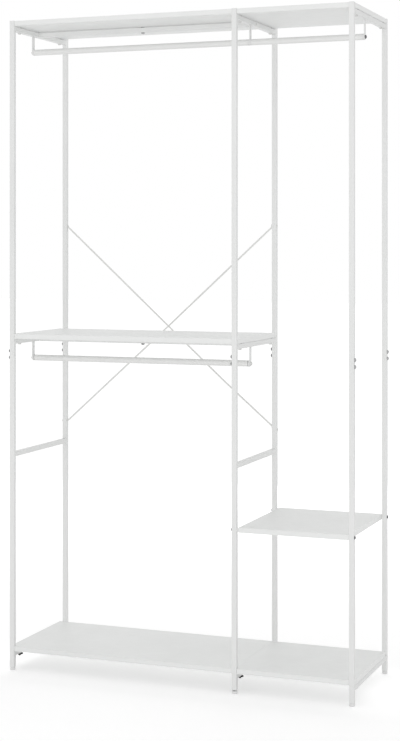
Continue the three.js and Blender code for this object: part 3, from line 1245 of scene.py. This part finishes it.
@dataclass(frozen=True)
class HangingRod:
    """Round rod between two straps, with a plug and a ring in its groove at each end; a dark ring is
    painted shade in the groove.
    """

    node: str
    groove_ring: Finish
    wall: float = 0.0012
    shoulder: float = 0.0045
    groove: float = 0.001
    neck_depth: float = 0.0026
    plug_depth: float = 0.012
    pilot: float = 0.0025
    edge: float = 0.0003
    steps: int = 48

    def build(self) -> None:
        """Builds the rod and its plugs."""
        box = Box.of(self.node)
        radius, length = box.size.z / 2, box.size.x
        inset = self.shoulder + self.groove
        tube = ring(radius - self.wall, radius, length - 2 * inset, self.edge, self.steps)
        rod = Piece(f"{self.node}_tube", ROD_PAINT)
        rod.add(tube, box.left + TO_RIGHT * inset, TO_RIGHT).finish(self.node)
        plugs = Piece(f"{self.node}_plugs", PALE_PLASTIC, self.groove_ring)
        for end, way in ((box.left, TO_RIGHT), (box.left + TO_RIGHT * length, -TO_RIGHT)):
            plugs.add(self.make_plug(radius), end, way, material=0)
            # Ring in the groove; a dark finish on it is painted shade that deepens the groove
            groove_ring = ring(radius - self.neck_depth, radius - self.edge, self.groove, self.edge / 2,
                          self.steps)
            plugs.add(groove_ring, end + way * self.shoulder, way, material=1)
        plugs.finish()

    def make_plug(self, radius: float) -> bmesh.types.BMesh:
        """Makes one plug.

        Args:
            radius: Radius of the rod.

        Returns:
            The plug.
        """
        return turned([
            (self.pilot, 0),
            (radius, 0),
            (radius, self.shoulder),
            (radius - self.neck_depth, self.shoulder),
            (radius - self.neck_depth, self.plug_depth),
            (self.pilot, self.plug_depth),
        ], self.steps, closed=True, edge=self.edge)


@dataclass(frozen=True)
class RodScrew:
    """Screw through a strap into a rod's plug, or a stud through it into the plugs of two rods."""

    node: str
    finish: Finish
    bolt: Bolt = Bolt()

    def build(self) -> None:
        """Builds the screw, or the stud where the node stands out far on both sides."""
        box, strap = Box.of(self.node), Box.of(f"{self.node.partition('_rod_')[0]}_strap")
        below, above = strap.low.x - box.low.x, box.high.x - strap.high.x
        if min(below, above) > self.bolt.head:
            stud = Piece(f"{self.node}_bar", self.finish)
            stud.add(self.bolt.make_shank(box.size.x), box.left, TO_RIGHT).finish(self.node)
            return
        way, seat_x = (-TO_RIGHT, strap.low.x) if below < above else (TO_RIGHT, strap.high.x)
        seat = Vector((seat_x, *box.centre.yz))
        screw = Piece(f"{self.node}_bolt", self.finish)
        screw.add_bolt(self.bolt, seat, way, box.size.x - self.bolt.height)
        screw.finish(self.node)


@dataclass(frozen=True)
class Brace:
    """Wire across the back of the wide bay, slightly bowed and flattened at its bolted ends."""

    layout: Layout
    node: str
    rises: bool
    joins: tuple[float, float]
    knee_share: float
    sag: float
    radius: float = 0.0027
    tab_reach: float = 0.0055
    tab_half: float = 0.00125
    tab_half_width: float = 0.0045
    tab_length: float = 0.006
    taper: float = 0.008
    end_bend: float = 0.004
    knee_bend: float = 4.0
    blunt_share: float = 0.25
    tip_fullness: float = 2.0
    bend_steps: int = 8
    end_steps: int = 24
    end_crowding: float = 1.5
    step: float = 0.02
    bolt: Bolt = Bolt(head=0.00475, height=0.0016, crown=0.0028, socket_depth=0.0008)

    def build(self) -> None:
        """Builds the wire and its bolts."""
        box = Box.of(self.node)
        stock = self.layout.stock
        low, high = box.low.z + self.tab_reach, box.high.z - self.tab_reach
        heights = (low, high) if self.rises else (high, low)
        bolts = Piece(f"{self.node}_bolts", PALE_SCREW)
        tips, corners = [], []
        for side, turn, height, join in zip((Side.LEFT, Side.CENTRE), (1, -1), heights, self.joins):
            inner = self.layout.frame_x[side] + turn * stock.half
            beyond = self.tab_reach if height == high else -self.tab_reach
            corners.append(Vector((inner + turn * self.tab_half, box.centre.y, height + join)))
            tips.append(Vector((inner + turn * self.tab_half, box.centre.y, height + beyond)))
            outer = Vector((inner - turn * stock.size, box.centre.y, height))
            bolts.add_bolt(self.bolt, outer, TO_RIGHT * -turn, stock.size + 2 * self.tab_half)
        knee = corners[0].lerp(corners[1], self.knee_share) + DOWN * self.sag
        path = self.bent([tips[0], corners[0], knee, corners[1], tips[1]])
        stations = self.stations(path)
        wire = swept([self.at(path, station) for station in stations],
                     [self.section(min(station, stations[-1] - station)) for station in stations])
        Piece(f"{self.node}_wire", WIRE).add(wire, Vector()).finish(self.node)
        bolts.finish()

    def bent(self, corners: Sequence[Vector]) -> list[Vector]:
        """Rounds the corners of the path, widely at the knee.

        Args:
            corners: First point, corners and last point.

        Returns:
            The points of the rounded path.
        """
        path = [corners[0]]
        bends = (self.end_bend, self.knee_bend, self.end_bend)
        for before, corner, after, bend in zip(corners, corners[1:], corners[2:], bends):
            back, ahead = (before - corner).normalized(), (after - corner).normalized()
            reach = bend * math.tan((math.pi - back.angle(ahead)) / 2)
            start, end = corner + back * reach, corner + ahead * reach
            for step in range(self.bend_steps + 1):
                share = step / self.bend_steps
                path.append(start.lerp(corner, share).lerp(corner.lerp(end, share), share))
        return [*path, corners[-1]]

    def stations(self, path: Sequence[Vector]) -> list[float]:
        """Spaces the sections along the path, closely at its ends.

        Args:
            path: Points of the path.

        Returns:
            Distances from the path's start, up to its whole length.
        """
        length = sum((after - before).length for before, after in zip(path, path[1:]))
        shares = [step / self.end_steps for step in range(self.end_steps)]
        ends = [self.step * share ** self.end_crowding for share in shares]
        count = round((length - 2 * self.step) / self.step)
        middle = [self.step + (length - 2 * self.step) * step / count for step in range(count + 1)]
        return [*ends, *middle, *(length - end for end in reversed(ends))]

    def at(self, path: Sequence[Vector], distance: float) -> Vector:
        """Finds a point of the path.

        Args:
            path: Points of the path.
            distance: Distance from its start.

        Returns:
            The point.
        """
        for before, after in zip(path, path[1:]):
            span = (after - before).length
            if distance < span:
                return before.lerp(after, distance / span)
            distance -= span
        return path[-1]

    def section(self, distance: float) -> tuple[float, float]:
        """Works out the oval at a distance from the nearer tip.

        Args:
            distance: The distance.

        Returns:
            Its half widths within the brace's plane and across it.
        """
        flat = min(1.0, max(0.0, (self.tab_length + self.taper - distance) / self.taper))
        blunt = self.tab_half * self.blunt_share
        short = 1 - min(1.0, (distance + blunt) / self.tab_half_width)
        tip = math.sqrt(1 - short ** 2)
        within = self.radius + (self.tab_half - self.radius) * flat
        across = self.radius + (self.tab_half_width - self.radius) * flat
        return within * min(1.0, self.tip_fullness * tip), across * tip


@dataclass(frozen=True)
class Lamp:
    """Large soft lamp, which neither the camera nor a reflection shows."""

    name: str
    place: tuple[float, float, float]
    power: float
    casts_shadow: bool
    size: float = 3.0

    def build(self, aim: Vector) -> None:
        """Sets the lamp.

        Args:
            aim: Point that it shines at.
        """
        data = bpy.data.lights.new(self.name, "AREA")
        data.shape = "SQUARE"
        data.size = self.size
        data.energy = self.power
        data.use_shadow = self.casts_shadow
        lamp = bpy.data.objects.new(self.name, data)
        lamp.location = self.place
        lamp.visible_camera = False
        lamp.visible_glossy = False
        lamp.rotation_euler = (aim - lamp.location).to_track_quat("-Z", "Y").to_euler()
        bpy.context.scene.collection.objects.link(lamp)


@dataclass(frozen=True)
class Fill:
    """Even light from one side, where a share of 1 lights a face as a white room would."""

    name: str
    side: tuple[float, float, float]
    share: float
    soft_angle: float = 0.0

    def build(self) -> None:
        """Sets the light, which casts a shadow only if it has a soft angle."""
        data = bpy.data.lights.new(self.name, "SUN")
        data.energy = self.share * math.pi
        data.use_shadow = self.soft_angle > 0
        data.angle = self.soft_angle
        lamp = bpy.data.objects.new(self.name, data)
        lamp.visible_glossy = False
        lamp.rotation_euler = Vector(self.side).to_track_quat("Z", "Y").to_euler()
        bpy.context.scene.collection.objects.link(lamp)


@dataclass(frozen=True)
class Studio:
    """Floor, light and camera."""

    camera_place: tuple[float, float, float] = (1.7625, -4.553, 1.309)
    camera_turn: float = math.radians(21.088)
    lens: float = 77.28
    sensor: float = 36.0
    horizon_shift: float = -0.1692
    floor_size: float = 60.0
    floor_tone: float = 0.8
    near_glow: float = 0.26
    far_glow: float = 0.42
    near_reach: float = 1.0
    far_reach: float = 3.0
    # Painted light: extra glow of the floor under the boards, where their shadow falls, inside half sizes
    # that fade out
    painted_under_light: float = 0.26
    painted_light_half: tuple[float, float] = (0.75, 0.28)
    painted_light_fade: float = 0.28
    glow_share: float = 0.3
    world_level: float = 0.52
    lamps: tuple[Lamp, ...] = (
        Lamp("key", (1.3, -4.8, 2.2), power=48.0, casts_shadow=False),
        Lamp("rim", (-1.0, 3.6, 1.7), power=36.0, casts_shadow=True),
    )
    fills: tuple[Fill, ...] = (
        Fill("overhead", (0, 0, 1), share=0.3, soft_angle=math.radians(130)),
        Fill("front", (0, -1, 0), share=0.12),
        Fill("right", (1, 0, 0), share=0.11),
        Fill("behind", (0, 1, 0), share=0.13),
        Fill("left", (-1, 0, 0), share=0.13),
    )

    def build(self) -> None:
        """Builds the stage."""
        self.build_camera()
        self.build_floor()
        self.build_world()
        for lamp in self.lamps:
            lamp.build(Vector((0, 0, self.camera_place[2])))
        for fill in self.fills:
            fill.build()
        bpy.context.scene.view_settings.view_transform = "Standard"

    def build_camera(self) -> None:
        """Sets the camera at the height and angle of the view."""
        data = bpy.data.cameras.new("camera")
        data.sensor_fit = "VERTICAL"
        data.sensor_height = self.sensor
        data.lens = self.lens
        data.shift_y = self.horizon_shift
        camera = bpy.data.objects.new("camera", data)
        camera.location = self.camera_place
        camera.rotation_euler = (math.pi / 2, 0, self.camera_turn)
        bpy.context.scene.collection.objects.link(camera)
        bpy.context.scene.camera = camera

    def seen(self, tree: NodeTree) -> bpy.types.NodeSocket:
        """Adds a test for rays that show the backdrop.

        Args:
            tree: Tree that takes the nodes.

        Returns:
            1 for camera, glossy and transmission rays, and 0 for others.
        """
        path = tree.add("ShaderNodeLightPath")
        total = path.outputs["Is Camera Ray"]
        for name in ("Is Glossy Ray", "Is Transmission Ray"):
            total = tree.math("MAXIMUM", total, path.outputs[name])
        return total

    def glow_level(self, tree: NodeTree) -> bpy.types.NodeSocket:
        """Adds the level of the floor's glow: higher far away, and higher under the boards as painted
        light that lifts the boards' shadow there.

        Only a share of it lights the pieces, so that they stay darker below.

        Args:
            tree: Tree that takes the nodes.

        Returns:
            The level.
        """
        where = tree.add("ShaderNodeTexCoord")
        distance = tree.add("ShaderNodeVectorMath")
        distance.operation = "LENGTH"
        tree.join(where.outputs["Object"], distance.inputs[0])
        level = tree.add("ShaderNodeMapRange", {
            "From Min": self.near_reach, "From Max": self.far_reach,
            "To Min": self.near_glow, "To Max": self.far_glow,
        })
        tree.join(distance.outputs["Value"], level.inputs["Value"])
        parts = tree.add("ShaderNodeSeparateXYZ")
        tree.join(where.outputs["Object"], parts.inputs["Vector"])
        total = level.outputs["Result"]
        # Painted light under the boards: the extra glow fills a box round the middle, where the boards'
        # shadow falls
        share = self.painted_under_light
        for name, half in zip("XY", self.painted_light_half):
            size = tree.math("ABSOLUTE", parts.outputs[name])
            inside = tree.add("ShaderNodeMapRange", {
                "From Min": half - self.painted_light_fade, "From Max": half, "To Min": 1.0, "To Max": 0.0,
            })
            tree.join(size, inside.inputs["Value"])
            share = tree.math("MULTIPLY", inside.outputs["Result"], share)
        shown = tree.math("MAXIMUM", self.seen(tree), self.glow_share)
        return tree.math("MULTIPLY", tree.math("ADD", total, share), shown)

    def build_floor(self) -> None:
        """Builds a pale floor that shows white where no shadow falls, also where the lamps fade, with
        painted light under the boards.
        """
        form = bmesh.new()
        bmesh.ops.create_grid(form, x_segments=1, y_segments=1, size=self.floor_size / 2)
        data = bpy.data.meshes.new("floor")
        form.to_mesh(data)
        form.free()
        material = bpy.data.materials.new("floor")
        tree = NodeTree(material)
        tone = (self.floor_tone, self.floor_tone, self.floor_tone, 1)
        plain = tree.add("ShaderNodeBsdfDiffuse", {"Color": tone})
        glow = tree.add("ShaderNodeEmission", {"Color": (1, 1, 1, 1)})
        tree.join(self.glow_level(tree), glow.inputs["Strength"])
        both = tree.add("ShaderNodeAddShader")
        output = tree.add("ShaderNodeOutputMaterial")
        tree.join(plain.outputs[0], both.inputs[0])
        tree.join(glow.outputs[0], both.inputs[1])
        tree.join(both.outputs[0], output.inputs["Surface"])
        data.materials.append(material)
        floor = bpy.data.objects.new("floor", data)
        bpy.context.scene.collection.objects.link(floor)

    def build_world(self) -> None:
        """Lights the room evenly from all sides, and shows it white."""
        world = bpy.data.worlds.new("room")
        tree = NodeTree(world)
        level = tree.add("ShaderNodeMapRange", {"To Min": self.world_level, "To Max": 1.0})
        room = tree.add("ShaderNodeBackground", {"Color": (1, 1, 1, 1)})
        output = tree.add("ShaderNodeOutputWorld")
        tree.join(self.seen(tree), level.inputs["Value"])
        tree.join(level.outputs["Result"], room.inputs["Strength"])
        tree.join(room.outputs[0], output.inputs["Surface"])
        bpy.context.scene.world = world


def build_bays(layout: Layout) -> None:
    """Builds the boards and support bars of both bays.

    Args:
        layout: Places of the frame.
    """
    for level in Level:
        Board(layout, f"{level.value}_left_board", Side.LEFT, Side.CENTRE).build()
        SupportBar(layout, level).build()
        if level is not Level.MIDDLE:
            Board(layout, f"{level.value}_right_board", Side.CENTRE, Side.RIGHT).build()
    LowShelf(layout).build()


def build_rods() -> None:
    """Builds the rods with their screws and stud."""
    # The middle rod's groove rings are dark as painted shade in their grooves; the top rods' rings are
    # pale
    groove_rings = {"top_left": PALE_PLASTIC, "top_right": PALE_PLASTIC, "middle_left": DARK_PLASTIC}
    for place, groove_ring in groove_rings.items():
        HangingRod(f"{place}_rod", groove_ring).build()
    for node in ("centre_top_rod_stud", "right_top_rod_screw"):
        RodScrew(node, STEEL).build()
    for place in ("left_top", "left_middle", "centre_middle"):
        RodScrew(f"{place}_rod_screw", PALE_SCREW).build()


def build_braces(layout: Layout) -> None:
    """Builds the two crossed braces.

    Args:
        layout: Places of the frame.
    """
    Brace(layout, "falling_brace", rises=False, joins=(0.0, 0.01), knee_share=0.777, sag=0.006).build()
    Brace(layout, "rising_brace", rises=True, joins=(-0.001, -0.004), knee_share=0.5,
          sag=0.0028).build()


def main() -> None:
    """Builds the stage and every piece of the wardrobe."""
    logging.basicConfig(level=logging.INFO, format="%(name)s: %(message)s")
    Studio().build()
    layout = Layout.read()
    for side in Side:
        UprightFrame(layout, side).build()
    build_bays(layout)
    build_rods()
    build_braces(layout)


if __name__ == "__main__":
    main()
